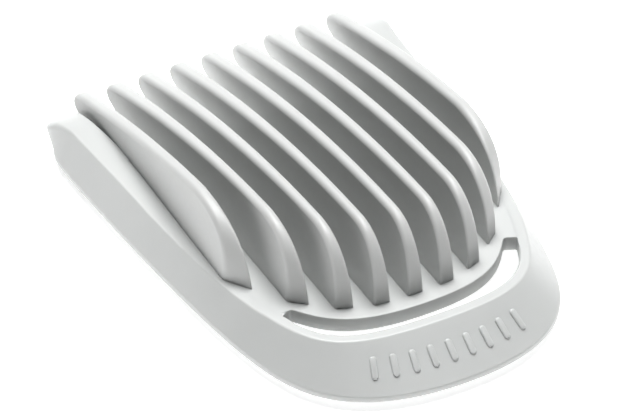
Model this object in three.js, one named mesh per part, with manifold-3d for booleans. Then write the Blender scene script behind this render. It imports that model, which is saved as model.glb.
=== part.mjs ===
// Clip-on comb attachment of a body groomer: one light grey injection moulding.
// It is built here as its moulded features, each a closed solid of its own: nine fins on a floor plate,
// a flared rear lip, two side rails and, underneath, the guides, lugs and latch that hold the groomer's head.
//
// Plate frame, used by every shape below, in millimetres: X across the comb, Y towards the tips of the fins,
// Z up from the top of the floor plate, with the origin at the rear root of the centre fin.
// The group at the end moves that frame so that the comb's box stands centred on the origin at Z = 0.

import * as THREE from 'three';
import { mergeVertices } from 'three/addons/utils/BufferGeometryUtils.js';
import Module from 'manifold-3d';

const wasm = await Module();
wasm.setup();

// ---- Driving dimensions ----

const PITCH = 4.0; // spacing of the fins
const OUTERMOST = 4; // fins each side of the centre one

// Fins: blades with draft, so their thickness depends on height alone.
const FIN_HEIGHT = 8.4; // crest above the floor plate
const FIN_CREST_Y = 1.0; // where the crest arc is highest
const FIN_CREST_RADIUS = 138;
const FIN_TIP_Y = 49.1;
const FIN_ROOT_HALF = 0.97; // half thickness at the floor plate
const FIN_CREST_HALF = 0.62; // half thickness at full height
const SHOULDER_STEPS = 9;
const CREST_STEPS = 14;
const TIP_STEPS = 6;
const ROOT_ARC_SCALE = 0.184; // rear roots lie on y = scale * |x / PITCH| ** power
const ROOT_ARC_POWER = 2.9;
const ROOT_SLANT = 0.8; // share of the arc's slope that each rear face takes
const SHOULDER_LENGTH = 5.6; // from a rear root to where the shoulder meets the crest
const SHOULDER_GROWTH = 0.22; // extra shoulder length per squared step away from the centre fin
const TINE_DEPTH = 2.8; // how far the free tines reach below the plate's top
const TINE_HEEL_Y = 44.6; // where a tine's lower edge turns up to its tip
const OUTER_FIN_SHIFT = 0.3; // the two outer fins stand this much further out,
const OUTER_FIN_EXTRA = 0.16; // and are this much taller, thicker and longer

// Floor plate, between the rails.
const PLATE = 1.8; // thickness
const PLATE_FRONT_Y = 34.6; // front edge; the tines are free beyond it

// Skirt: the wall that flares down from the crease all round the rear and sides.
const WALL = 1.2; // thickness
const SKIRT_DEPTH = 4.7; // from the plate's top to the foot
const BAND = 0.7; // height of the upright band along the foot
const RAIL_RISE = 0.4; // how far the rails stand proud of the plate
const RISE_START_Y = 18;
const RISE_END_Y = 34;
const CREASE = [
  [[0, -5.1], [12.4, -5.1], [13.8, -2.2], [16.3, 4.8]], // round the rear corner
  [[16.3, 4.8], [18.9, 12], [19.5, 27.4], [20.4, 41]], // along the rail
];
const FOOT = [
  [[0, -10.8], [15.9, -10.8], [17.5, -1.5], [18.75, 4.4]],
  [[18.75, 4.4], [20.1, 10.8], [21.4, 27.4], [21.7, 41]],
];
const LIP_STEPS = 12;
const RAIL_STEPS = 10;

// Slot between the floor plate and the rear lip: the plate's rear edge, from the middle to the slot's end.
const SLOT_EDGE = [[0, -1.8], [8.6, -1.8], [10.8, 0.7], [13.2, 4]];
const SLOT_CORNER_Y = 3.4; // where the slot's end meets the lip
const SLOT_STEPS = 10;

// Rails in front of the plate, and their rounded noses.
const RAIL_INNER_X = 17.7;
const NOSE_START_Y = 44;
const NOSE_END_Y = 47.6;

// Underside: guides, snap lugs and latch.
const GUIDE_WALL = 0.9;
const GUIDE_FACE_TOP = -3.0; // the guiding face ends here, just under the tines
const GUIDE_LEAN = 0.5; // and the rib leans back by this much above it
const LUG_DEPTH = 1.0;
const LUG_LENGTH = 3.2;
const LUG_Y = 40.4;
const LUG_OUTER_X = 21.3;
const LUG_INNER_X = 19.5;
const LATCH = { width: 12, y: 4.2, wall: 1.4, depth: 2.7, barb: 0.9 };
const GUSSET = { wall: 1.2, length: 2.6, depth: 2.0, x: 4.5 };

// Generic raised mark on the lip: a row of nine short bars.
const TICK = { width: 0.8, length: 2.6, proud: 0.22, sunk: 0.4, spacing: 2.2, eachSide: 4 };

const BOX_CENTRE_Y = (FIN_TIP_Y + OUTER_FIN_EXTRA + FOOT[0][0][1]) / 2;
const LOWEST = SKIRT_DEPTH + LUG_DEPTH;

// ---- Material ----

const plastic = (color) => new THREE.MeshStandardMaterial({ color, roughness: 0.5, metalness: 0 });

// ---- Geometry helpers ----

const vec = (x, y, z) => new THREE.Vector3(x, y, z);
const lerp = THREE.MathUtils.lerp;

function bezierPoint(controls, t) {
  const [a, b, c, d] = controls.map(([x, y]) => new THREE.Vector2(x, y));
  return new THREE.CubicBezierCurve(a, b, c, d).getPoint(t);
}

function bezierPoints(controls, steps) {
  return Array.from({ length: steps + 1 }, (_, i) => bezierPoint(controls, i / steps));
}

// An outline of [a, b] pairs, extruded along +Z of its own frame.
function extrude(outline, depth) {
  const shape = new THREE.Shape(outline.map(([a, b]) => new THREE.Vector2(a, b)));
  return new THREE.ExtrudeGeometry(shape, { depth, bevelEnabled: false });
}

// An outline in X and Y, standing from one height to another.
const slab = (outline, low, high) => extrude(outline, high - low).translate(0, 0, low);

// An outline in Y and Z, running from one X to another.
function crossBar(outline, fromX, toX) {
  const swap = new THREE.Matrix4().makeBasis(vec(0, 1, 0), vec(0, 0, 1), vec(1, 0, 0));
  return extrude(outline, toX - fromX).applyMatrix4(swap).translate(fromX, 0, 0);
}

// An outline in X and Z, running from one Y to another.
function lengthBar(outline, fromY, toY) {
  return extrude(outline, toY - fromY).rotateX(Math.PI / 2).translate(0, toY, 0);
}

// A solid lofted through closed sections that all have the same number of points.
function loft(sections) {
  const count = sections[0].length;
  const positions = sections.flat().flatMap((p) => [p.x, p.y, p.z]);
  const cap = capTriangles(sections[0]);
  const last = (sections.length - 1) * count;
  const index = [];
  for (let s = 0; s + 1 < sections.length; s++) {
    for (let i = 0; i < count; i++) {
      const a = s * count + i;
      const b = s * count + ((i + 1) % count);
      index.push(a, b, a + count, b, b + count, a + count);
    }
  }
  for (const [a, b, c] of cap) index.push(a, c, b, last + a, last + b, last + c);
  const geometry = new THREE.BufferGeometry();
  geometry.setAttribute('position', new THREE.Float32BufferAttribute(positions, 3));
  geometry.setIndex(index);
  return facingOut(geometry);
}

// Triangles of a flat section, found in the upright plane that it lies in.
function capTriangles(section) {
  const across = section.reduce((best, p) => {
    const reach = p.clone().sub(section[0]).setZ(0);
    return reach.length() > best.length() ? reach : best;
  }, vec(0, 0, 0));
  const axis = across.normalize();
  const flat = section.map((p) => new THREE.Vector2(p.dot(axis), p.z));
  if (!THREE.ShapeUtils.isClockWise(flat)) return THREE.ShapeUtils.triangulateShape(flat, []);
  const reversed = flat.slice().reverse();
  const end = flat.length - 1;
  return THREE.ShapeUtils.triangulateShape(reversed, []).map(([a, b, c]) => [end - c, end - b, end - a]);
}

function volume(geometry) {
  const p = geometry.attributes.position;
  const corner = (i) => new THREE.Vector3().fromBufferAttribute(p, geometry.index.getX(i));
  let sum = 0;
  for (let i = 0; i < geometry.index.count; i += 3) {
    sum += corner(i).dot(corner(i + 1).cross(corner(i + 2))) / 6;
  }
  return sum;
}

function facingOut(geometry) {
  if (volume(geometry) > 0) return geometry;
  const order = Array.from(geometry.index.array);
  for (let i = 0; i < order.length; i += 3) [order[i], order[i + 1]] = [order[i + 1], order[i]];
  geometry.setIndex(order);
  return geometry;
}

const mirrored = (geometry) => facingOut(welded(geometry).scale(-1, 1, 1));

function welded(geometry) {
  const plain = geometry.clone();
  plain.deleteAttribute('normal');
  plain.deleteAttribute('uv');
  return mergeVertices(plain);
}

// ---- Booleans ----

function solid(geometry) {
  const plain = welded(geometry);
  return new wasm.Manifold(new wasm.Mesh({
    numProp: 3,
    vertProperties: new Float32Array(plain.attributes.position.array),
    triVerts: new Uint32Array(plain.index.array),
  }));
}

function toGeometry(manifold) {
  const mesh = manifold.getMesh();
  const geometry = new THREE.BufferGeometry();
  geometry.setAttribute('position', new THREE.BufferAttribute(mesh.vertProperties, 3));
  geometry.setIndex(new THREE.BufferAttribute(mesh.triVerts, 1));
  return geometry;
}

const join = (...parts) => toGeometry(parts.map(solid).reduce((all, part) => all.add(part)));
const common = (...parts) => toGeometry(parts.map(solid).reduce((all, part) => all.intersect(part)));

// ---- Skirt ----

// A station is one upright cut through the skirt: the crease at the top and the foot below it.
function station(segment, t, side = 1) {
  const crease = bezierPoint(CREASE[segment], t);
  const foot = bezierPoint(FOOT[segment], t);
  return stationAt(crease, foot, side);
}

function stationAt(crease, foot, side = 1) {
  const outward = foot.clone().sub(crease).normalize();
  const inner = crease.clone().addScaledVector(outward, -WALL);
  return { crease, foot, inner, outward, side };
}

const railRise = (y) => RAIL_RISE * THREE.MathUtils.smoothstep(y, RISE_START_Y, RISE_END_Y);

// The skirt's section at a station: a flared wall whose inner face is upright beside the plate.
function wallSection({ crease, foot, inner, outward, side }) {
  const bandTop = SKIRT_DEPTH - BAND;
  const reach = crease.distanceTo(foot);
  const top = railRise(crease.y);
  const profile = [
    [0, top],
    [reach, -bandTop],
    [reach, -SKIRT_DEPTH],
    [reach - WALL, -SKIRT_DEPTH],
    [reach - WALL, -bandTop],
    [-WALL, -PLATE],
    [-WALL, top],
  ];
  return profile.map(([out, z]) => {
    const at = out === -WALL ? inner : crease.clone().addScaledVector(outward, out);
    return vec(side * at.x, at.y, z);
  });
}

const steps = (count) => Array.from({ length: count + 1 }, (_, i) => i / count);
const lipStations = steps(LIP_STEPS).map((t) => station(0, t));
const railStations = [
  ...steps(RAIL_STEPS).map((t) => station(1, t)),
  stationAt(new THREE.Vector2(CREASE[1][3][0], NOSE_START_Y), new THREE.Vector2(FOOT[1][3][0], NOSE_START_Y)),
];

// The line half way down the lip's outer face, in plan.
const lipMiddle = (t) => bezierPoint(CREASE[0], t).add(bezierPoint(FOOT[0], t)).divideScalar(2);

// A short raised bar lying on the lip's outer face, turned and sloped as the face is at that place.
function tickBar(index) {
  const { width, length, proud, sunk, spacing } = TICK;
  const x = Math.abs(index) * spacing;
  const t = steps(400).reduce((best, s) => (Math.abs(lipMiddle(s).x - x) < Math.abs(lipMiddle(best).x - x) ? s : best));
  const [middle, crease, foot] = [lipMiddle(t), bezierPoint(CREASE[0], t), bezierPoint(FOOT[0], t)];
  const near = lipMiddle(Math.min(t + 0.01, 1)).sub(lipMiddle(Math.max(t - 0.01, 0)));
  const side = index < 0 ? -1 : 1;
  const along = vec(near.x, side * near.y, 0).normalize();
  const up = vec(side * (crease.x - foot.x), crease.y - foot.y, SKIRT_DEPTH - BAND);
  up.addScaledVector(along, -up.dot(along)).normalize();
  const inward = up.clone().cross(along);
  const bar = new THREE.BoxGeometry(width, proud + sunk, length).translate(0, (sunk - proud) / 2, 0);
  return bar
    .applyMatrix4(new THREE.Matrix4().makeBasis(along, inward, up))
    .translate(side * middle.x, middle.y, -(SKIRT_DEPTH - BAND) / 2);
}

function rearLip() {
  const leftHalf = lipStations.slice(1).reverse().map((s) => ({ ...s, side: -1 }));
  const wall = loft([...leftHalf, ...lipStations].map(wallSection));
  const indices = Array.from({ length: 2 * TICK.eachSide + 1 }, (_, i) => i - TICK.eachSide);
  return join(wall, ...indices.map(tickBar));
}

const sideWall = () => loft(railStations.map(wallSection));

// ---- Floor plate ----

const skirtInside = [...lipStations, ...railStations.slice(1)].map((s) => s.inner);

// The stretch of the skirt's inner edge between two values of Y, with its ends worked out exactly.
function insideBetween(low, high) {
  const at = (y) => {
    const next = skirtInside.findIndex((p) => p.y >= y);
    const [a, b] = [skirtInside[next - 1], skirtInside[next]];
    return new THREE.Vector2(lerp(a.x, b.x, (y - a.y) / (b.y - a.y)), y);
  };
  return [at(low), ...skirtInside.filter((p) => p.y > low && p.y < high), at(high)];
}

function floorPlate() {
  const slotEdge = bezierPoints(SLOT_EDGE, SLOT_STEPS);
  const side = insideBetween(SLOT_CORNER_Y, PLATE_FRONT_Y);
  const half = [...slotEdge, ...side].map((p) => [p.x, p.y]);
  const otherHalf = half.slice(1).reverse().map(([x, y]) => [-x, y]);
  return slab([...half, ...otherHalf], -PLATE, 0);
}

// ---- Rails ----

function railShelf() {
  const edge = insideBetween(PLATE_FRONT_Y, NOSE_START_Y).map((p) => [p.x, p.y]);
  return slab([[RAIL_INNER_X, PLATE_FRONT_Y], ...edge, [RAIL_INNER_X, NOSE_START_Y]], -PLATE, RAIL_RISE);
}

// The nose is solid, rounded in side view and at its outer corner.
function railNose() {
  const [creaseX, footX] = [CREASE[1][3][0], FOOT[1][3][0]];
  const section = [
    [RAIL_INNER_X, RAIL_RISE],
    [creaseX, RAIL_RISE],
    [footX, BAND - SKIRT_DEPTH],
    [footX, -SKIRT_DEPTH],
    [RAIL_INNER_X, -SKIRT_DEPTH],
  ];
  const top = bezierPoints([[41, 0.45], [44.5, 0.45], [47.7, -0.6], [NOSE_END_Y, -2.7]], 10);
  const front = bezierPoints([[NOSE_END_Y, -2.7], [47.5, -3.5], [46.9, -4.2], [46.4, -4.8]], 4);
  const sideView = [[41, -6], ...[...top, ...front.slice(1)].map((p) => [p.x, p.y]), [46.4, -6]];
  const corner = bezierPoints([[22, 42], [22, 46], [21, NOSE_END_Y], [18.6, NOSE_END_Y]], 8);
  const plan = [[16, 42], ...corner.map((p) => [p.x, p.y]), [16, NOSE_END_Y]];
  return common(lengthBar(section, NOSE_START_Y, NOSE_END_Y), crossBar(sideView, 16, 23), slab(plan, -6, 1));
}

// ---- Fins ----

const rootY = (x) => ROOT_ARC_SCALE * Math.abs(x / PITCH) ** ROOT_ARC_POWER;

const crestZ = (y) => FIN_HEIGHT - (y - FIN_CREST_Y) ** 2 / (2 * FIN_CREST_RADIUS);

function finHalf(z) {
  return lerp(FIN_ROOT_HALF, FIN_CREST_HALF, z / FIN_HEIGHT);
}

// Side view of a fin, in Y and Z, with the share of the rear arc's slant that each point takes.
function finProfile(stepsOut) {
  const root = rootY(stepsOut * PITCH);
  const shoulderEnd = root + SHOULDER_LENGTH + SHOULDER_GROWTH * stepsOut ** 2;
  const crestEnd = FIN_TIP_Y - 1.4;
  const shoulder = bezierPoints([
    [root, 0],
    [root + 0.2, 4.8],
    [lerp(root, shoulderEnd, 0.35), crestZ(shoulderEnd) + 0.1],
    [shoulderEnd, crestZ(shoulderEnd)],
  ], SHOULDER_STEPS).map((p, i) => ({ y: p.x, z: p.y, slant: 1 - i / SHOULDER_STEPS }));
  const crest = steps(CREST_STEPS).slice(1).map((t) => {
    const y = lerp(shoulderEnd, crestEnd, t);
    return { y, z: crestZ(y), slant: 0 };
  });
  const { z: endZ } = crest.at(-1);
  const tip = bezierPoints([
    [crestEnd, endZ],
    [FIN_TIP_Y - 0.3, endZ - 0.5],
    [FIN_TIP_Y + 0.25, endZ - 1.5],
    [FIN_TIP_Y - 1.1, endZ - 2.4],
  ], TIP_STEPS).slice(1).map((p) => ({ y: p.x, z: p.y, slant: 0 }));
  const under = [
    [TINE_HEEL_Y, -TINE_DEPTH],
    [TINE_HEEL_Y - 3, -TINE_DEPTH],
    [PLATE_FRONT_Y, -PLATE],
    [PLATE_FRONT_Y, 0],
  ].map(([y, z]) => ({ y, z, slant: 0 }));
  return [...shoulder, ...crest, ...tip, ...under];
}

// One fin, with its middle plane at X = 0: its two side faces lean together by the draft.
function fin(stepsOut, side, extra) {
  const profile = finProfile(stepsOut);
  const face = (hand) => profile.map(({ y, z, slant }) => {
    const grown = z > 0 ? z * (1 + extra / FIN_HEIGHT) : z;
    const half = hand * (finHalf(grown) + extra / 2);
    const slantY = ROOT_SLANT * (rootY(stepsOut * PITCH + side * half) - rootY(stepsOut * PITCH));
    return vec(half, y + slant * slantY + (y > TINE_HEEL_Y ? extra : 0), grown);
  });
  return loft([face(-1), face(1)]);
}

// ---- Underside ----

// A rib under the rail's shelf, whose lower inner face guides the side of the groomer's head.
function guideRib() {
  const outline = [
    [RAIL_INNER_X, GUIDE_FACE_TOP],
    [RAIL_INNER_X, -SKIRT_DEPTH],
    [RAIL_INNER_X + GUIDE_WALL, -SKIRT_DEPTH],
    [RAIL_INNER_X + GUIDE_WALL, -PLATE],
    [RAIL_INNER_X + GUIDE_LEAN, -PLATE],
  ];
  return lengthBar(outline, PLATE_FRONT_Y, NOSE_START_Y);
}

// A lug under the rail's foot, with a lead-in on its inner side.
function snapLug() {
  const outline = [
    [LUG_OUTER_X, -SKIRT_DEPTH],
    [LUG_INNER_X + 1, -SKIRT_DEPTH],
    [LUG_INNER_X, -SKIRT_DEPTH - LUG_DEPTH / 2],
    [LUG_INNER_X + 0.4, -SKIRT_DEPTH - LUG_DEPTH],
    [LUG_OUTER_X - 0.3, -SKIRT_DEPTH - LUG_DEPTH],
  ];
  return lengthBar(outline, LUG_Y - LUG_LENGTH / 2, LUG_Y + LUG_LENGTH / 2);
}

// A hook under the plate's rear edge, with its barb towards the tips.
function rearLatch() {
  const { width, y, wall, depth, barb } = LATCH;
  const low = -PLATE - depth;
  const outline = [
    [y, -PLATE],
    [y + wall, -PLATE],
    [y + wall, low + 1.2],
    [y + wall + barb, low + 0.8],
    [y + wall, low],
    [y, low],
  ];
  return crossBar(outline, -width / 2, width / 2);
}

// A triangular web behind the latch.
function latchGusset() {
  const { wall, length, depth, x } = GUSSET;
  const outline = [
    [LATCH.y, -PLATE],
    [LATCH.y - length, -PLATE],
    [LATCH.y, -PLATE - depth],
  ];
  return crossBar(outline, x - wall / 2, x + wall / 2);
}

// ---- Assembly ----

const comb = new THREE.Group();
comb.position.set(0, -BOX_CENTRE_Y, LOWEST);

function add(name, geometry, color, x = 0) {
  const mesh = new THREE.Mesh(geometry, plastic(color));
  mesh.name = name;
  mesh.position.x = x;
  comb.add(mesh);
}

const SHELL_COLOUR = 0xdfe1e0;
const FIN_COLOUR = 0xe6e8e6;

add('floor_plate', floorPlate(), SHELL_COLOUR);
add('rear_lip', rearLip(), SHELL_COLOUR);

for (let i = -OUTERMOST; i <= OUTERMOST; i++) {
  const outer = Math.abs(i) === OUTERMOST;
  const side = Math.sign(i);
  const shift = outer ? side * OUTER_FIN_SHIFT : 0;
  const geometry = fin(Math.abs(i), side, outer ? OUTER_FIN_EXTRA : 0);
  add(`fin_${i + OUTERMOST + 1}`, geometry, FIN_COLOUR, i * PITCH + shift);
}

const paired = {
  side_wall: sideWall,
  rail_shelf: railShelf,
  rail_nose: railNose,
  guide_rib: guideRib,
  snap_lug: snapLug,
  latch_gusset: latchGusset,
};
for (const [name, make] of Object.entries(paired)) {
  add(`right_${name}`, make(), SHELL_COLOUR);
  add(`left_${name}`, mirrored(make()), SHELL_COLOUR);
}

add('rear_latch', rearLatch(), SHELL_COLOUR);

const group = new THREE.Group();
group.add(comb);

export default group;
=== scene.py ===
"""Looks of the clip-on comb attachment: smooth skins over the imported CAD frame, studio and camera.

Shapes are worked out in millimetres in the plate frame of the part: X across, Y towards the fin tips,
Z up from the top of the floor plate, origin at the rear root of the centre fin.
"""

import math

import bmesh
import bpy
import numpy as np
from mathutils import Matrix, Vector


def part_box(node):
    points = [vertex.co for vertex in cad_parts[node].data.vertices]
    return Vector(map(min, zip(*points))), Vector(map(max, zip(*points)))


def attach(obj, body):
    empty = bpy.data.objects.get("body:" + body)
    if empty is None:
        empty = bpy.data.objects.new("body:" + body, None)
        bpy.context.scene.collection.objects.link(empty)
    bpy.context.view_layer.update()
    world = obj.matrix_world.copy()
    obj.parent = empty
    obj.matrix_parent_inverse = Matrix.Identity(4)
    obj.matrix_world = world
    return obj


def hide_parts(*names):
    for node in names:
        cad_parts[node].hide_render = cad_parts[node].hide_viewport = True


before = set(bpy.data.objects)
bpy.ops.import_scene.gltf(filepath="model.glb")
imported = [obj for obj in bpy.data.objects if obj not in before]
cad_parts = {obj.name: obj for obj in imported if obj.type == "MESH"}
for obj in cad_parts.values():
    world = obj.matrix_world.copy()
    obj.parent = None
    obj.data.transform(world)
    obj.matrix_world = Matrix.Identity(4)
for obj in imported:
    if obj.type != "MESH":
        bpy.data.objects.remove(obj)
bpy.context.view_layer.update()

MM = 0.001

# ---- Dimensions shared with the part, in millimetres ----

PITCH = 4.0
OUTERMOST = 4
FIN_HEIGHT = 8.4
FIN_CREST_Y = 1.0
FIN_CREST_RADIUS = 138
FIN_TIP_Y = 49.1
FIN_ROOT_HALF = 0.97
FIN_CREST_HALF = 0.62
ROOT_ARC_SCALE = 0.184
ROOT_ARC_POWER = 2.9
ROOT_SLANT = 0.8  # share of the roots' arc that each rear face follows
SHOULDER_LENGTH = 5.6
SHOULDER_GROWTH = 0.22
TINE_DEPTH = 2.8
TINE_HEEL_Y = 44.6
OUTER_FIN_SHIFT = 0.3
OUTER_FIN_EXTRA = 0.16
PLATE = 1.8
PLATE_FRONT_Y = 34.6
WALL = 1.2
SKIRT_DEPTH = 4.7
BAND = 0.7  # height of the upright band along the foot
RAIL_RISE = 0.4
RISE_START_Y = 18
RISE_END_Y = 34
CREASE = [
    [(0, -5.1), (12.4, -5.1), (13.8, -2.2), (16.3, 4.8)],
    [(16.3, 4.8), (18.9, 12), (19.5, 27.4), (20.4, 41)],
]
FOOT = [
    [(0, -10.8), (15.9, -10.8), (17.5, -1.5), (18.75, 4.4)],
    [(18.75, 4.4), (20.1, 10.8), (21.4, 27.4), (21.7, 41)],
]
SLOT_EDGE = [(0, -1.8), (8.6, -1.8), (10.8, 0.7), (13.2, 4)]
SLOT_CORNER_Y = 3.4
RAIL_INNER_X = 17.7
NOSE_START_Y = 44
NOSE_END_Y = 47.6
NOSE_TOP = [(41, 0.45), (44.5, 0.45), (47.7, -0.6), (47.6, -2.7)]
NOSE_FRONT = [(47.6, -2.7), (47.5, -3.5), (46.9, -4.2), (46.4, -4.8)]
NOSE_CORNER = [(22, 42), (22, 46), (21, 47.6), (18.6, 47.6)]
TICK_WIDTH = 0.8
TICK_LENGTH = 2.6
TICK_PROUD = 0.22
TICK_SUNK = 0.4
TICK_SPACING = 2.2
TICKS_EACH_SIDE = 4

RAIL_END_X, RAIL_END_Y = CREASE[1][3]
RAIL_END_FOOT_X = FOOT[1][3][0]
UNDER_OUTER_FIN_X = OUTERMOST * PITCH + OUTER_FIN_SHIFT
OUTER_FIN_FACE_X = UNDER_OUTER_FIN_X + FIN_ROOT_HALF + OUTER_FIN_EXTRA / 2

# The plate frame's origin in the row frame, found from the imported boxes.
ORIGIN = Vector((0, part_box("rear_lip")[0].y - FOOT[0][0][1] * MM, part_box("floor_plate")[1].z))

# ---- Where the skins depart from the CAD, each by less than a millimetre ----

SHELF_EDGE_X = 17.03  # the shelves start here beside the outer fins,
SHELF_EASE_Y = (37, 45)  # and ease out to RAIL_INNER_X along here
OUTER_FACE_EASE = 0.35  # the outer fins' outer faces draw in by this much at the root,
OUTER_EASE_Y = (20, 36)  # growing along here,
OUTER_EASE_HEIGHT = 6  # and by nothing at this height
NOSE_FULLNESS = 0.75
NOSE_WIDEST_X = 21.6
NOSE_LEAN = 0.45
NOSE_FORWARD_Z = (-4.4, -1.5)  # heights over which a nose comes forward, going up,
NOSE_BACK_Z = (-1.7, -0.1)  # and over which it goes back again
NOSE_LEAN_SIDEWAYS = 0.6  # share of the lean that also goes outwards

# ---- Small radii that the faceted CAD leaves out ----

CREASE_RADIUS_LIP = 0.5
CREASE_RADIUS_RAIL = 0.24
CREASE_RADIUS_NOSE = 1.1
RIM_RADIUS = 0.14
BAND_RADIUS = 0.3
FOOT_RADIUS = 0.16
SLOT_CORNER_RADIUS = 0.5
FIN_CREST_ROUND = 0.6
FIN_ROOT_ROUND = 0.28
FIN_TIP_ROUND = 0.61
FIN_HEEL_ROUND = 1.2
NOSE_SOFTNESS = 0.6
NOSE_CORNER_ROUND = 1.4
CREASE_EASE_Y = (0, 12)  # the crease goes from the lip's radius to the rails' along here
ARC = 5  # segments of a small fillet
CREASE_ARC = 9
SLOT_ARC = 8
FIN_ARC = 6
RIM_ARC = 1  # the rim is a chamfer: it ends beside the slot, where a fillet would smear the shading

CURVE_SAMPLES = 400  # for finding a place on a curve
HAIR = 0.02  # a gap that keeps two neighbouring points apart


# ---- Curves ----

def bezier(controls, t):
    a, b, c, d = (np.array(p, float) for p in controls)
    s = 1 - t
    return a * s**3 + 3 * b * t * s**2 + 3 * c * t**2 * s + d * t**3


def smoothstep(x, low, high):
    t = min(max((x - low) / (high - low), 0.0), 1.0)
    return t * t * (3 - 2 * t)


def lerp(a, b, t):
    return a + (b - a) * t


def soft_min(a, b, k):
    """The smaller of two values, rounded off where they are within k of each other."""
    h = min(max(0.5 + 0.5 * (b - a) / k, 0.0), 1.0)
    return lerp(b, a, h) - k * h * (1 - h)


def unit(v):
    return v / np.linalg.norm(v)


def bezier_at(controls, axis, value):
    """The other coordinate of the sampled point that is nearest to a value on one axis."""
    points = [bezier(controls, i / CURVE_SAMPLES) for i in range(CURVE_SAMPLES + 1)]
    best = min(points, key=lambda p: abs(p[axis] - value))
    return best[1 - axis]


def fillet(before, corner, after, radius, steps):
    """Points of a round corner in 2D; with no radius, or hardly a bend, they all lie on the corner."""
    corner = np.array(corner, float)
    u, v = unit(np.array(before, float) - corner), unit(np.array(after, float) - corner)
    half = math.acos(max(-1.0, min(1.0, float(u @ v)))) / 2
    hardly_bent = half > math.pi / 2 - 0.01
    if radius <= 0 or hardly_bent:
        return [corner] * (steps + 1)
    reach = radius / math.tan(half)
    centre = corner + unit(u + v) * radius / math.sin(half)
    start, end = corner + u * reach - centre, corner + v * reach - centre
    turn = math.pi - 2 * half
    points = []
    for i in range(steps + 1):
        a = turn * i / steps
        points.append(centre + (start * math.sin(turn - a) + end * math.sin(a)) / math.sin(turn))
    return points


# ---- Meshes ----

SAME_POINT = 2e-7  # metres
NO_LENGTH = 1e-7
SHARP_ANGLE = 38
TICK_SHARP_ANGLE = 50


def build(name, vertices, faces, node_names, material, sharp_angle=SHARP_ANGLE):
    """A smooth-shaded mesh piece from points in the plate frame, standing for CAD nodes."""
    mesh = bpy.data.meshes.new(name)
    points = [Vector(tuple(float(c) for c in v)) * MM + ORIGIN for v in vertices]
    mesh.from_pydata(points, [], faces)
    work = bmesh.new()
    work.from_mesh(mesh)
    bmesh.ops.remove_doubles(work, verts=work.verts, dist=SAME_POINT)
    bmesh.ops.dissolve_degenerate(work, edges=work.edges, dist=NO_LENGTH)
    bmesh.ops.recalc_face_normals(work, faces=work.faces)
    work.to_mesh(mesh)
    work.free()
    for polygon in mesh.polygons:
        polygon.use_smooth = True
    mesh.set_sharp_from_angle(angle=math.radians(sharp_angle))
    mesh.materials.append(material)
    piece = bpy.data.objects.new(name, mesh)
    bpy.context.scene.collection.objects.link(piece)
    weigh_normals(piece)
    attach(piece, "root")
    if node_names:
        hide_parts(*node_names)
    return piece


def weigh_normals(piece):
    """Lets the large faces set the shading, so that they look flat beside their round edges."""
    modifier = piece.modifiers.new("weighted_normals", "WEIGHTED_NORMAL")
    modifier.keep_sharp = True
    modifier.weight = 80
    modifier.thresh = 0.01


def ring_faces(rings, count, closed_ends=True):
    """Quads between rings of `count` points each, numbered one ring after another."""
    faces = []
    for r in range(rings - 1):
        for i in range(count):
            j = (i + 1) % count
            faces.append((r * count + i, r * count + j, (r + 1) * count + j, (r + 1) * count + i))
    if closed_ends:
        faces.append(tuple(range(count)))
        faces.append(tuple((rings - 1) * count + i for i in range(count)))
    return faces


# ---- Materials ----

NOISE_MIDDLE = (0.3, 0.7)  # the noise nodes' values lie mostly between these
FLOW_SCALE, GLOSS_SCALE, GRAIN_SCALE = 90, 1400, 5200
DARKER, LIGHTER = 0.975, 1.02
GLOSSIER, DULLER = 0.05, 0.06
GRAIN_DEPTH = 0.00003
SCATTER_SHARE, SCATTER_REACH = 0.3, 0.0012
SCATTER_COLOUR = (1.0, 0.95, 0.9)


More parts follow.
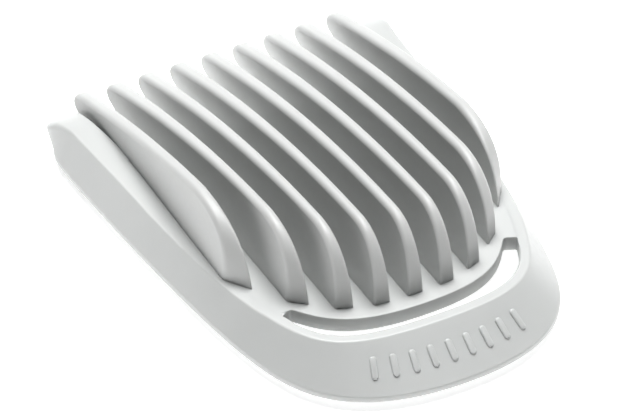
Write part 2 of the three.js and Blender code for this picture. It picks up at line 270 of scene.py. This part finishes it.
def plastic(name, base, roughness, seed):
    """Fine-grained satin moulded plastic, with slight unevenness of tone and gloss."""
    material = bpy.data.materials.new(name)
    material.use_nodes = True
    nodes, links = material.node_tree.nodes, material.node_tree.links
    shader = nodes["Principled BSDF"]
    place = nodes.new("ShaderNodeTexCoord")

    def noise(scale, detail, rough):
        node = nodes.new("ShaderNodeTexNoise")
        node.noise_dimensions = "4D"
        node.inputs["W"].default_value = seed
        node.inputs["Scale"].default_value = scale
        node.inputs["Detail"].default_value = detail
        node.inputs["Roughness"].default_value = rough
        links.new(place.outputs["Object"], node.inputs["Vector"])
        return node

    def ramp(source, stops):
        node = nodes.new("ShaderNodeValToRGB")
        node.color_ramp.elements[0].position, node.color_ramp.elements[0].color = stops[0]
        node.color_ramp.elements[1].position, node.color_ramp.elements[1].color = stops[1]
        links.new(source.outputs["Fac"], node.inputs["Fac"])
        return node

    flow = noise(FLOW_SCALE, 3, 0.55)
    tone = ramp(flow, [
        (NOISE_MIDDLE[0], (*[c * DARKER for c in base], 1)),
        (NOISE_MIDDLE[1], (*[c * LIGHTER for c in base], 1)),
    ])
    links.new(tone.outputs["Color"], shader.inputs["Base Color"])

    gloss = noise(GLOSS_SCALE, 2, 0.6)
    spread = nodes.new("ShaderNodeMapRange")
    spread.inputs["From Min"].default_value = NOISE_MIDDLE[0]
    spread.inputs["From Max"].default_value = NOISE_MIDDLE[1]
    spread.inputs["To Min"].default_value = roughness - GLOSSIER
    spread.inputs["To Max"].default_value = roughness + DULLER
    links.new(gloss.outputs["Fac"], spread.inputs["Value"])
    links.new(spread.outputs["Result"], shader.inputs["Roughness"])

    grain = noise(GRAIN_SCALE, 2, 0.5)
    bump = nodes.new("ShaderNodeBump")
    bump.inputs["Strength"].default_value = 0.12
    bump.inputs["Distance"].default_value = GRAIN_DEPTH
    links.new(grain.outputs["Fac"], bump.inputs["Height"])
    links.new(bump.outputs["Normal"], shader.inputs["Normal"])

    shader.inputs["IOR"].default_value = 1.49
    shader.inputs["Subsurface Weight"].default_value = SCATTER_SHARE
    shader.inputs["Subsurface Radius"].default_value = SCATTER_COLOUR
    shader.inputs["Subsurface Scale"].default_value = SCATTER_REACH
    return material


shell_plastic = plastic("shell_plastic", (0.475, 0.486, 0.48), 0.42, 1.7)
fin_plastic = plastic("fin_plastic", (0.475, 0.483, 0.477), 0.46, 4.2)


# ---- Skirt: lip, side walls, shelves and noses in one smooth sweep ----

LEAST_OUTWARDS = 0.2  # keeps widths across the skirt finite where the lip faces straight back
WIDENING_END_Y = 12  # from the slot's corner to here, the skirt's top widens to reach the outer fin
RIM_FADE = (2.0, 0.8)  # the rim fades out between these distances behind the slot's corner
LIP_STATIONS = 64
RAIL_STATIONS = 56
SHELF_END_STATIONS = 6
NOSE_STATIONS = 26


def rail_rise(y):
    return RAIL_RISE * smoothstep(y, RISE_START_Y, RISE_END_Y)


class Station:
    """One upright cut through the skirt: where its crease, foot and inner edge are in plan.
    It's open below the plate, or solid as in the noses, and beside the free tines its top is a shelf."""

    def __init__(self, crease, foot, solid=False, shelf=False):
        self.crease, self.foot = np.array(crease, float), np.array(foot, float)
        self.solid, self.shelf = solid, shelf
        self.out = unit(self.foot - self.crease)
        self.y = self.crease[1]
        if shelf:
            edge = lerp(SHELF_EDGE_X, RAIL_INNER_X, smoothstep(self.y, *SHELF_EASE_Y))
            width = (self.crease[0] - edge) / self.out[0]
        else:
            to_fin = (self.crease[0] - UNDER_OUTER_FIN_X) / max(self.out[0], LEAST_OUTWARDS)
            share = smoothstep(self.y, SLOT_CORNER_Y, WIDENING_END_Y)
            width = lerp(WALL, max(to_fin, WALL), share)
        self.width = width
        self.inner = self.crease - self.out * width

    def profile(self):
        """Closed profile as distances out from the crease and heights, with its round corners.
        Every station gives the same count of points, so that the rings join up."""
        reach = float(np.linalg.norm(self.foot - self.crease))
        top, low, band = rail_rise(self.y), -SKIRT_DEPTH, BAND - SKIRT_DEPTH
        on_slot = 1 - smoothstep(self.y, SLOT_CORNER_Y - RIM_FADE[0], SLOT_CORNER_Y - RIM_FADE[1])
        rim = RIM_RADIUS * on_slot
        inner_top = top if self.shelf else 0
        beside_fin = not self.shelf and self.width > WALL + 0.05
        if beside_fin:
            fin_face = (OUTER_FIN_FACE_X - self.crease[0]) / max(self.out[0], LEAST_OUTWARDS)
            middle = max(fin_face, HAIR - self.width)
        else:
            middle = -self.width / 2
        on_lip = 1 - smoothstep(self.y, *CREASE_EASE_Y)
        on_nose = smoothstep(self.y, RAIL_END_Y, NOSE_END_Y - 2)
        crease_round = lerp(CREASE_RADIUS_RAIL, CREASE_RADIUS_LIP, on_lip)
        crease_round = lerp(crease_round, CREASE_RADIUS_NOSE, on_nose)
        corners = [
            ((-self.width, inner_top), rim, RIM_ARC),
            ((middle, top), 0, 0),
            ((0, top), crease_round, CREASE_ARC),
            ((reach, band), BAND_RADIUS, ARC),
            ((reach, low), FOOT_RADIUS, ARC),
        ]
        if self.solid:
            spare = -3  # any height on the inner face: an open section has a corner more
            corners += [
                ((-self.width, low), FOOT_RADIUS, ARC),
                ((-self.width, band), 0, 0),
                ((-self.width, spare), 0, 0),
                ((-self.width, -PLATE), 0, RIM_ARC),
            ]
        else:
            corners += [
                ((reach - WALL, low), FOOT_RADIUS, ARC),
                ((reach - WALL, band), 0, 0),
                ((-WALL, -PLATE), 0, 0),
                ((-self.width, -PLATE), rim, RIM_ARC),
            ]
        points = []
        for i, (corner, radius, steps) in enumerate(corners):
            before, after = corners[i - 1][0], corners[(i + 1) % len(corners)][0]
            if steps == 0:
                points.append(np.array(corner, float))
            elif radius <= 0 or before == corner or after == corner:
                points += [np.array(corner, float)] * (steps + 1)
            else:
                points += fillet(before, corner, after, radius, steps)
        return points

    def ring(self):
        ring = []
        for out, z in self.profile():
            at = self.crease + self.out * out
            ring.append((at[0], at[1], z))
        return ring


UNCUT_X = 99  # beyond every point of a section


def nose_squeeze(ring, y):
    """Draws a section of the rail in towards the rounded nose: lower on top, higher below,
    cut off outside, and leaning in from the middle of its height."""
    corner_y = NOSE_CORNER[0][1]
    top = bezier_at(NOSE_TOP, 0, y) if y > NOSE_TOP[0][0] else RAIL_RISE
    low = max(bezier_at(NOSE_FRONT, 0, y), -SKIRT_DEPTH) if y > NOSE_FRONT[3][0] else -SKIRT_DEPTH
    outer = bezier_at(NOSE_CORNER, 1, y) if y > corner_y else UNCUT_X
    ending = smoothstep(y, corner_y, NOSE_END_Y - 1)
    softness = 0.05 + NOSE_SOFTNESS * ending
    scale = (min(top, RAIL_RISE) - low) / (RAIL_RISE + SKIRT_DEPTH)
    fuller = NOSE_FULLNESS * smoothstep(y, RAIL_END_Y, NOSE_END_Y - 1.4)
    squeezed = []
    for x, _, z in ring:
        full = x + fuller * max(NOSE_WIDEST_X - x, 0) * smoothstep(x, RAIL_INNER_X, RAIL_END_X)
        inside = min(x, RAIL_INNER_X)
        across = max(soft_min(full, outer, softness), inside)
        near = min(max((across - outer) / NOSE_CORNER_ROUND + 1, 0.0), 1.0)
        drop = ending * NOSE_CORNER_ROUND * (1 - math.sqrt(1 - near * near)) / (RAIL_RISE + SKIRT_DEPTH)
        height = low + (z + SKIRT_DEPTH) * (scale - drop)
        forward = lerp(-NOSE_LEAN, NOSE_LEAN, smoothstep(height, *NOSE_FORWARD_Z))
        back = NOSE_LEAN * smoothstep(height, *NOSE_BACK_Z)
        outside = smoothstep(across, RAIL_INNER_X, min(outer, NOSE_WIDEST_X))
        lean = (forward - back) * ending * outside
        squeezed.append((across + lean * NOSE_LEAN_SIDEWAYS, y + lean, height))
    return squeezed


def skirt_stations():
    """Stations of the right half, from the middle of the lip to where the nose begins to form."""
    lip = [
        Station(bezier(CREASE[0], i / LIP_STATIONS), bezier(FOOT[0], i / LIP_STATIONS))
        for i in range(LIP_STATIONS + 1)
    ]
    rail = [
        Station(bezier(CREASE[1], i / RAIL_STATIONS), bezier(FOOT[1], i / RAIL_STATIONS))
        for i in range(1, RAIL_STATIONS + 1)
    ]
    behind = [s for s in lip + rail if s.y < PLATE_FRONT_Y]
    ahead = [s for s in rail if s.y > PLATE_FRONT_Y]
    a, b = behind[-1], ahead[0]
    t = (PLATE_FRONT_Y - a.y) / (b.y - a.y)
    step_crease, step_foot = lerp(a.crease, b.crease, t), lerp(a.foot, b.foot, t)
    stations = behind + [Station(step_crease, step_foot)]
    stations.append(Station(step_crease, step_foot, shelf=True))
    stations += [Station(s.crease, s.foot, shelf=True) for s in ahead]
    return stations


def add_skirt():
    stations = skirt_stations()
    rings = [s.ring() for s in stations]
    for i in range(1, SHELF_END_STATIONS + 1):
        y = lerp(RAIL_END_Y, NOSE_START_Y, i / SHELF_END_STATIONS)
        ring = Station((RAIL_END_X, y), (RAIL_END_FOOT_X, y), shelf=True).ring()
        rings.append(nose_squeeze(ring, y))
    for i in range(NOSE_STATIONS + 1):
        y = NOSE_START_Y + (NOSE_END_Y - NOSE_START_Y) * math.sin(math.pi / 2 * i / NOSE_STATIONS)
        ring = Station((RAIL_END_X, y), (RAIL_END_FOOT_X, y), solid=True, shelf=True).ring()
        rings.append(nose_squeeze(ring, y))
    count = len(rings[0])
    right = [p for ring in rings for p in ring]
    left = [(-x, y, z) for x, y, z in right]
    half = ring_faces(len(rings), count, closed_ends=False)
    half.append(tuple((len(rings) - 1) * count + i for i in range(count)))
    shifted = [tuple(i + len(right) for i in reversed(f)) for f in half]
    sides = ("side_wall", "rail_shelf", "rail_nose")
    replaced = ["rear_lip"] + [f"{hand}_{part}" for hand in ("left", "right") for part in sides]
    build("comb_skirt", right + left, half + shifted, replaced, shell_plastic)
    return stations


# ---- Floor plate with its rounded slot edge ----

SLOT_EDGE_STEPS = 40
FRONT_POINTS = 24


def plate_outline(stations):
    """Right half of the plate in plan, from the middle of the slot to the middle of the front edge.
    Each point comes with the radius of its top and bottom edges."""
    edge = [bezier(SLOT_EDGE, i / SLOT_EDGE_STEPS) for i in range(SLOT_EDGE_STEPS + 1)]
    inner = [s.inner for s in stations if not s.shelf]
    after = next(i for i, p in enumerate(inner) if p[1] > SLOT_CORNER_Y)
    a, b = inner[after - 1], inner[after]
    corner = lerp(a, b, (SLOT_CORNER_Y - a[1]) / (b[1] - a[1]))
    first = fillet(edge[-3], edge[-1], corner, SLOT_CORNER_RADIUS, SLOT_ARC)
    backwards = corner - unit(b - a)
    second = fillet(edge[-1], corner, backwards, SLOT_CORNER_RADIUS / 2, SLOT_ARC)
    kept = [p for p in edge if np.linalg.norm(p - edge[-1]) > SLOT_CORNER_RADIUS * 1.2]
    outline = [(p, RIM_RADIUS) for p in kept]
    outline += [(p, RIM_RADIUS * (1 - i / SLOT_ARC)) for i, p in enumerate(first)]
    outline += [(p, 0.0) for p in second]
    end_y = second[-1][1]
    outline += [(p, 0.0) for p in inner if p[1] > end_y + HAIR]
    front_x = inner[-1][0]
    outline += [((x, PLATE_FRONT_Y), RIM_RADIUS) for x in np.linspace(front_x - HAIR, 0, FRONT_POINTS)]
    return [(np.array(p, float), radius) for p, radius in outline]


def plate_faces(half_points, first, direction):
    """The flat top or bottom of the plate: strips from side to side, and a wedge at each slot end."""
    last, total = len(half_points) - 1, 2 * len(half_points) - 2
    along_y = [p[1] for p in half_points]
    corner = next(i for i in range(1, last) if along_y[i + 1] < along_y[i] - 1e-6)
    beyond = next(i for i in range(corner + 1, last) if along_y[i] > along_y[corner] + 0.05)

    def right(i):
        return first + i

    def left(i):
        return first + (total - i) % total

    chain = [*range(corner + 1), *range(beyond, last + 1)]
    faces = []
    for a, b in zip(chain, chain[1:]):
        quad = [right(a), right(b), left(b), left(a)]
        faces.append(tuple(dict.fromkeys(quad)))
    wedge = range(corner, beyond + 1)
    faces.append(tuple(right(i) for i in reversed(wedge)))
    faces.append(tuple(left(i) for i in wedge))
    return [tuple(reversed(f)) for f in faces] if direction < 0 else faces


def add_plate(stations):
    half = plate_outline(stations)
    whole = half + [(np.array((-p[0], p[1])), r) for p, r in reversed(half[1:-1])]
    points = [p for p, _ in whole]
    count = len(points)
    inward = []
    for i, p in enumerate(points):
        along = unit(points[(i + 1) % count] - points[i - 1])
        inward.append(np.array((-along[1], along[0])))
    rings = []
    for side, height in ((1, 0.0), (-1, -PLATE)):
        arc = []
        for k in range(ARC + 1):
            a = math.pi / 2 * k / ARC
            arc.append([
                (*(p + n * r * (1 - math.cos(a))), height - side * r * (1 - math.sin(a)))
                for (p, r), n in zip(whole, inward)
            ])
        rings.append(arc)
    ordered = list(reversed(rings[0])) + rings[1]
    vertices = [p for ring in ordered for p in ring]
    faces = ring_faces(len(ordered), count, closed_ends=False)
    half_points = [p for p, _ in half]
    faces += plate_faces(half_points, 0, 1) + plate_faces(half_points, (len(ordered) - 1) * count, -1)
    build("comb_floor", vertices, faces, ["floor_plate"], shell_plastic)


# ---- Fins ----

SHOULDER_STEPS = 32
CREST_STEPS = 44
TIP_STEPS = 16
UNDERSIDE_STEPS = 8
TIP_LENGTH = 1.4
HEEL_LENGTH = 3
FIN_SUNK = 0.5  # how far the fins reach into the plate
SUNK_ROUND = 0.01  # edges inside the plate are as good as sharp
SHOULDER_ROUNDING = (0.1, 0.95)  # share of the shoulder along which its edges get rounder


def root_y(x):
    return ROOT_ARC_SCALE * abs(x / PITCH) ** ROOT_ARC_POWER


def crest_z(y):
    return FIN_HEIGHT - (y - FIN_CREST_Y) ** 2 / (2 * FIN_CREST_RADIUS)


def fin_half(z):
    return lerp(FIN_ROOT_HALF, FIN_CREST_HALF, z / FIN_HEIGHT)


def fin_profile(steps_out):
    """Side view of a fin as points: y, z, share of the rear slant, and radius of the edge.
    It goes up the shoulder, along the crest, round the tip and back under the tine."""
    root = root_y(steps_out * PITCH)
    shoulder_end = root + SHOULDER_LENGTH + SHOULDER_GROWTH * steps_out**2
    crest_end = FIN_TIP_Y - TIP_LENGTH
    shoulder = [
        (root, 0),
        (root + 0.2, 4.8),
        (lerp(root, shoulder_end, 0.35), crest_z(shoulder_end) + 0.1),
        (shoulder_end, crest_z(shoulder_end)),
    ]
    points = [(root - 0.01, -FIN_SUNK, 1.0, FIN_ROOT_ROUND)]
    for i in range(SHOULDER_STEPS + 1):
        t = i / SHOULDER_STEPS
        y, z = bezier(shoulder, t)
        edge = lerp(FIN_ROOT_ROUND, FIN_CREST_ROUND, smoothstep(t, *SHOULDER_ROUNDING))
        points.append((y, z, 1 - t, edge))
    for i in range(1, CREST_STEPS + 1):
        y = lerp(shoulder_end, crest_end, i / CREST_STEPS)
        points.append((y, crest_z(y), 0, FIN_CREST_ROUND))
    end_z = crest_z(crest_end)
    tip = [
        (crest_end, end_z),
        (FIN_TIP_Y - 0.3, end_z - 0.5),
        (FIN_TIP_Y + 0.25, end_z - 1.5),
        (FIN_TIP_Y - 1.1, end_z - 2.4),
    ]
    for i in range(1, TIP_STEPS + 1):
        y, z = bezier(tip, i / TIP_STEPS)
        edge = lerp(FIN_CREST_ROUND, FIN_TIP_ROUND, smoothstep(i / TIP_STEPS, 0, 0.5))
        points.append((y, z, 0, edge))
    tip_low = bezier(tip, 1)
    heel = np.array((TINE_HEEL_Y, -TINE_DEPTH))
    under = np.array((TINE_HEEL_Y - HEEL_LENGTH, -TINE_DEPTH))
    back = np.array((PLATE_FRONT_Y, -PLATE + 0.01))
    for i in range(1, UNDERSIDE_STEPS):
        y, z = lerp(tip_low, heel, i / UNDERSIDE_STEPS)
        points.append((y, z, 0, FIN_CREST_ROUND))
    for y, z in fillet(tip_low, heel, under, FIN_HEEL_ROUND, UNDERSIDE_STEPS):
        points.append((y, z, 0, FIN_CREST_ROUND))
    for i in range(UNDERSIDE_STEPS):
        y, z = lerp(under, back, i / UNDERSIDE_STEPS)
        points.append((y, z, 0, lerp(FIN_CREST_ROUND, FIN_ROOT_ROUND, i / UNDERSIDE_STEPS)))
    points.append((*back, 0, FIN_ROOT_ROUND))
    points.append((PLATE_FRONT_Y - 0.4, -PLATE + 0.4, 0, SUNK_ROUND))
    points.append((PLATE_FRONT_Y - 0.6, -FIN_SUNK, 0, SUNK_ROUND))
    return points


def add_fin(number):
    """A fin as rings of its side view, from one face over the rounded edge to the other face."""
    step = number - OUTERMOST - 1
    outer, side = abs(step) == OUTERMOST, np.sign(step)
    extra = OUTER_FIN_EXTRA if outer else 0
    middle = step * PITCH + (side * OUTER_FIN_SHIFT if outer else 0)
    profile = fin_profile(abs(step))
    flat = np.array([(y, z) for y, z, _, _ in profile])
    count = len(flat)
    inward = []
    for i in range(count):
        along = unit(flat[(i + 1) % count] - flat[i - 1])
        inward.append(np.array((along[1], -along[0])))
    reach = abs(step) * PITCH
    slope = ROOT_SLANT * side * (root_y(reach + 0.5) - root_y(reach - 0.5)) if step else 0

    def ring(hand, k):
        a = math.pi / 2 * k / FIN_ARC
        points = []
        for (y, z, slant, r), n in zip(profile, inward):
            depth = r * (1 - math.cos(a))
            yy, zz = np.array((y, z)) + n * depth
            grown = zz * (1 + extra / FIN_HEIGHT) if zz > 0 else zz
            eased = 0
            if outer and hand == side:
                low_down = 1 - min(max(zz, 0), OUTER_EASE_HEIGHT) / OUTER_EASE_HEIGHT
                eased = OUTER_FACE_EASE * smoothstep(y, *OUTER_EASE_Y) * low_down
            x = hand * (fin_half(grown) + extra / 2 - eased - r * (1 - math.sin(a)))
            longer = extra if y > TINE_HEEL_Y else 0
            points.append((middle + x, yy + slant * slope * x + longer, grown))
        return points

    rings = [ring(-1, k) for k in range(FIN_ARC, -1, -1)] + [ring(1, k) for k in range(FIN_ARC + 1)]
    vertices = [p for r in rings for p in r]
    faces = ring_faces(len(rings), count)
    build(f"comb_fin_{number}", vertices, faces, [f"fin_{number}"], fin_plastic)


# ---- Raised mark on the lip ----

TICK_LAYERS = [  # how far the outline is drawn in, and its height on the lip
    (0.0, -TICK_SUNK),
    (0.0, 0.05),
    (0.04, 0.13),
    (0.1, 0.19),
    (0.2, TICK_PROUD),
]
TICK_ARC = 6


def lip_middle(t):
    """The point half-way between crease and foot, in plan."""
    return (bezier(CREASE[0], t) + bezier(FOOT[0], t)) / 2


def add_ticks():
    """Short raised bars with rounded edges, lying on the lip's outer face."""
    samples = [i / CURVE_SAMPLES for i in range(CURVE_SAMPLES + 1)]
    vertices, faces = [], []
    for i in range(-TICKS_EACH_SIDE, TICKS_EACH_SIDE + 1):
        x = abs(i) * TICK_SPACING
        t = min(samples, key=lambda s: abs(lip_middle(s)[0] - x))
        crease, foot = bezier(CREASE[0], t), bezier(FOOT[0], t)
        down = np.array((*(foot - crease), BAND - SKIRT_DEPTH))
        near = lip_middle(min(t + 0.01, 1)) - lip_middle(max(t - 0.01, 0))
        along = unit(np.array((near[0], near[1], 0)))
        down = unit(down - along * (down @ along))
        normal = np.cross(down, along)
        normal = normal if normal[2] > 0 else -normal
        at = np.array((*lip_middle(t), (BAND - SKIRT_DEPTH) / 2))
        mirror = np.array((-1 if i < 0 else 1, 1, 1))
        rings = []
        for inset, height in TICK_LAYERS:
            wide, long = TICK_WIDTH / 2 - inset, TICK_LENGTH / 2 - inset
            corner = wide - HAIR
            ring = []
            for cx, cy, start in ((1, 1, 0), (-1, 1, 90), (-1, -1, 180), (1, -1, 270)):
                for k in range(TICK_ARC + 1):
                    a = math.radians(start + 90 * k / TICK_ARC)
                    u = cx * (wide - corner) + corner * math.cos(a)
                    v = cy * (long - corner) + corner * math.sin(a)
                    ring.append((at + along * u + down * v + normal * height) * mirror)
            rings.append(ring)
        first = len(vertices)
        vertices += [p for ring in rings for p in ring]
        faces += [tuple(k + first for k in f) for f in ring_faces(len(rings), len(rings[0]))]
    build("raised_mark", vertices, faces, [], shell_plastic, TICK_SHARP_ANGLE)


stations = add_skirt()
add_plate(stations)
for number in range(1, 2 * OUTERMOST + 2):
    add_fin(number)
add_ticks()

# ---- Features underneath: their CAD shape, with softened edges ----

SOFT_EDGE = 0.15
SOFT_EDGE_ANGLE = 25

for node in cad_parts.values():
    if node.hide_render:
        continue
    node.data.materials.clear()
    node.data.materials.append(shell_plastic)
    bevel = node.modifiers.new("soft_edges", "BEVEL")
    bevel.width = SOFT_EDGE * MM
    bevel.segments = 3
    bevel.limit_method = "ANGLE"
    bevel.angle_limit = math.radians(SOFT_EDGE_ANGLE)
    bevel.harden_normals = True


# ---- Studio ----

FLOOR_REACH = 3.0
FLOOR_WHITE = 0.93
GLOW_PLACE = (0, 0.012, 0)  # in scaled positions
GLOW_FULL, GLOW_END = 0.006, 0.0165
GLOW_STRONG, GLOW_AROUND = 1.5, 0.62
GLOW_SCALING = (1, 0.5, 1)  # halves positions along Y, so that the glow is twice as long as wide
AROUND_COLOUR, AROUND_STRENGTH = (0.97, 0.985, 1.0, 1), 0.06
LIGHTS = [  # name, place, diameter, power; each points at the comb
    ("top", (0.07, 0.22, 0.87), 0.5, 13.0),
    ("right", (0.38, 0.2, 0.79), 0.4, 1.8),
    ("low ahead", (0.2, 0.88, 0.14), 0.5, 0.9),
]


def floor_material():
    """A white table lit from below, most strongly under the comb."""
    material = bpy.data.materials.new("studio_floor")
    material.use_nodes = True
    nodes, links = material.node_tree.nodes, material.node_tree.links
    shader = nodes["Principled BSDF"]
    shader.inputs["Base Color"].default_value = (FLOOR_WHITE, FLOOR_WHITE, FLOOR_WHITE, 1)
    shader.inputs["Roughness"].default_value = 0.9
    shader.inputs["Specular IOR Level"].default_value = 0.0
    shader.inputs["Emission Color"].default_value = (1, 1, 1, 1)
    place = nodes.new("ShaderNodeNewGeometry")
    distance = nodes.new("ShaderNodeVectorMath")
    distance.operation = "DISTANCE"
    distance.inputs[1].default_value = GLOW_PLACE
    scaled = nodes.new("ShaderNodeVectorMath")
    scaled.operation = "MULTIPLY"
    scaled.inputs[1].default_value = GLOW_SCALING
    glow = nodes.new("ShaderNodeMapRange")
    glow.interpolation_type = "SMOOTHSTEP"
    glow.inputs["From Min"].default_value = GLOW_FULL
    glow.inputs["From Max"].default_value = GLOW_END
    glow.inputs["To Min"].default_value = GLOW_STRONG
    glow.inputs["To Max"].default_value = GLOW_AROUND
    links.new(place.outputs["Position"], scaled.inputs[0])
    links.new(scaled.outputs["Vector"], distance.inputs[0])
    links.new(distance.outputs["Value"], glow.inputs["Value"])
    links.new(glow.outputs["Result"], shader.inputs["Emission Strength"])
    return material


far = FLOOR_REACH
floor_corners = [(-far, -far, 0), (far, -far, 0), (far, far, 0), (-far, far, 0)]
floor_mesh = bpy.data.meshes.new("studio_floor")
floor_mesh.from_pydata(floor_corners, [], [(0, 1, 2, 3)])
floor_mesh.materials.append(floor_material())
floor = bpy.data.objects.new("studio_floor", floor_mesh)
bpy.context.scene.collection.objects.link(floor)

world = bpy.data.worlds.new("studio")
bpy.context.scene.world = world
world.use_nodes = True
background = world.node_tree.nodes["Background"]
background.inputs["Color"].default_value = AROUND_COLOUR
background.inputs["Strength"].default_value = AROUND_STRENGTH


def area_light(name, place, diameter, power):
    light = bpy.data.lights.new(name, "AREA")
    light.shape = "DISK"
    light.size = diameter
    light.energy = power
    lamp = bpy.data.objects.new(name, light)
    lamp.location = place
    lamp.rotation_mode = "QUATERNION"
    lamp.rotation_quaternion = (-Vector(place)).to_track_quat("-Z", "Y")
    bpy.context.scene.collection.objects.link(lamp)


for name, place, diameter, power in LIGHTS:
    area_light(name, place, diameter, power)


# ---- Camera at the photograph's angle: degrees, and millimetres from the plate's origin ----

CAMERA_ELEVATION = 38.628
CAMERA_AZIMUTH = 28.660
CAMERA_ROLL = 0.611
CAMERA_DISTANCE = 650.0
CAMERA_LENS = 349.66
FRAME_CENTRE = (11.417, -9.363)  # right and up, from the middle of the frame to the plate's origin
SENSOR_WIDTH = 36


def add_camera():
    e, p, roll = (math.radians(a) for a in (CAMERA_ELEVATION, CAMERA_AZIMUTH, CAMERA_ROLL))
    right = Vector((math.cos(p), -math.sin(p), 0))
    ahead = Vector((math.sin(p) * math.cos(e), math.cos(p) * math.cos(e), -math.sin(e)))
    up = right.cross(ahead)
    turned_right = right * math.cos(roll) + up * math.sin(roll)
    turned_up = up * math.cos(roll) - right * math.sin(roll)
    place = -turned_right * FRAME_CENTRE[0] - turned_up * FRAME_CENTRE[1] - ahead * CAMERA_DISTANCE
    data = bpy.data.cameras.new("camera")
    data.sensor_width = SENSOR_WIDTH
    data.lens = CAMERA_LENS
    data.clip_start, data.clip_end = 0.05, 20
    camera = bpy.data.objects.new("camera", data)
    camera.matrix_world = Matrix((
        (turned_right.x, turned_up.x, -ahead.x, place.x * MM + ORIGIN.x),
        (turned_right.y, turned_up.y, -ahead.y, place.y * MM + ORIGIN.y),
        (turned_right.z, turned_up.z, -ahead.z, place.z * MM + ORIGIN.z),
        (0, 0, 0, 1),
    ))
    bpy.context.scene.collection.objects.link(camera)
    bpy.context.scene.camera = camera


add_camera()
bpy.context.scene.view_settings.view_transform = "Standard"
